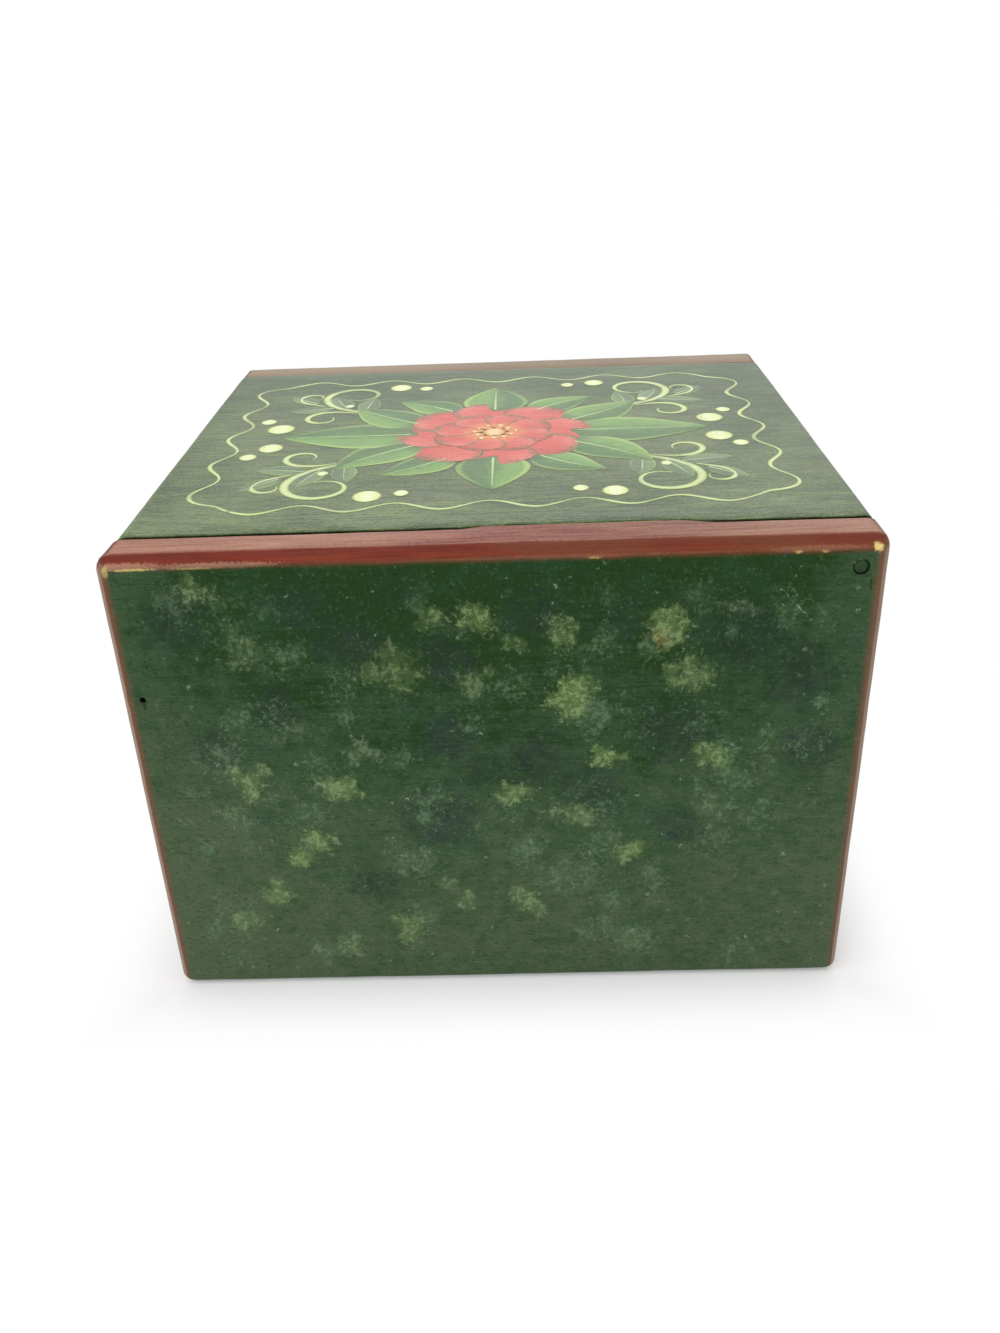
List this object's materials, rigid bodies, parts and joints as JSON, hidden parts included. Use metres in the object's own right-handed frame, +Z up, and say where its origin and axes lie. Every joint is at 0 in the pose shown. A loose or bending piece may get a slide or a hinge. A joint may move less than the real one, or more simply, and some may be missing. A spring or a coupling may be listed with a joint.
{
  "type": "recipe box",
  "caption": "Nailed wooden card box with rounded end boards and a lid that turns on pins between them.",
  "frame": {"origin": "middle of the box's outline, on the surface that it stands on", "axes": "+X towards the right end, +Y towards the back where the pins are, +Z up"},
  "size_m": [0.1574, 0.16, 0.113],
  "materials": {
    "end_paint": "satin paint, sponged, with red edges",
    "wall_paint": "satin paint, sponged",
    "lid_paint": "satin paint with a painted design",
    "bare_wood": "sanded bare wood",
    "pin_steel": "drawn, painted over at the outer end",
    "nail_steel": "bright wire",
    "filler": "wood filler, painted over"
  },
  "bodies": {
    "case": {"right_end": "end_paint", "left_end": "end_paint", "front_panel": "wall_paint", "back_panel": "wall_paint", "bottom_panel": "bare_wood", "right_front_nails": "nail_steel", "right_back_nails": "nail_steel", "left_front_nails": "nail_steel", "left_back_nails": "nail_steel", "right_filler_plugs": "filler", "left_filler_plugs": "filler"},
    "lid": {"lid": "lid_paint", "right_pivot_pin": "pin_steel", "left_pivot_pin": "pin_steel"}
  },
  "joints": [
    {"name": "lid_hinge", "type": "hinge", "parent": "case", "child": "lid", "pos_m": [0, 0.07425, 0.10725], "axis": [-1, 0, 0], "range_deg": [0, 100]}
  ]
}
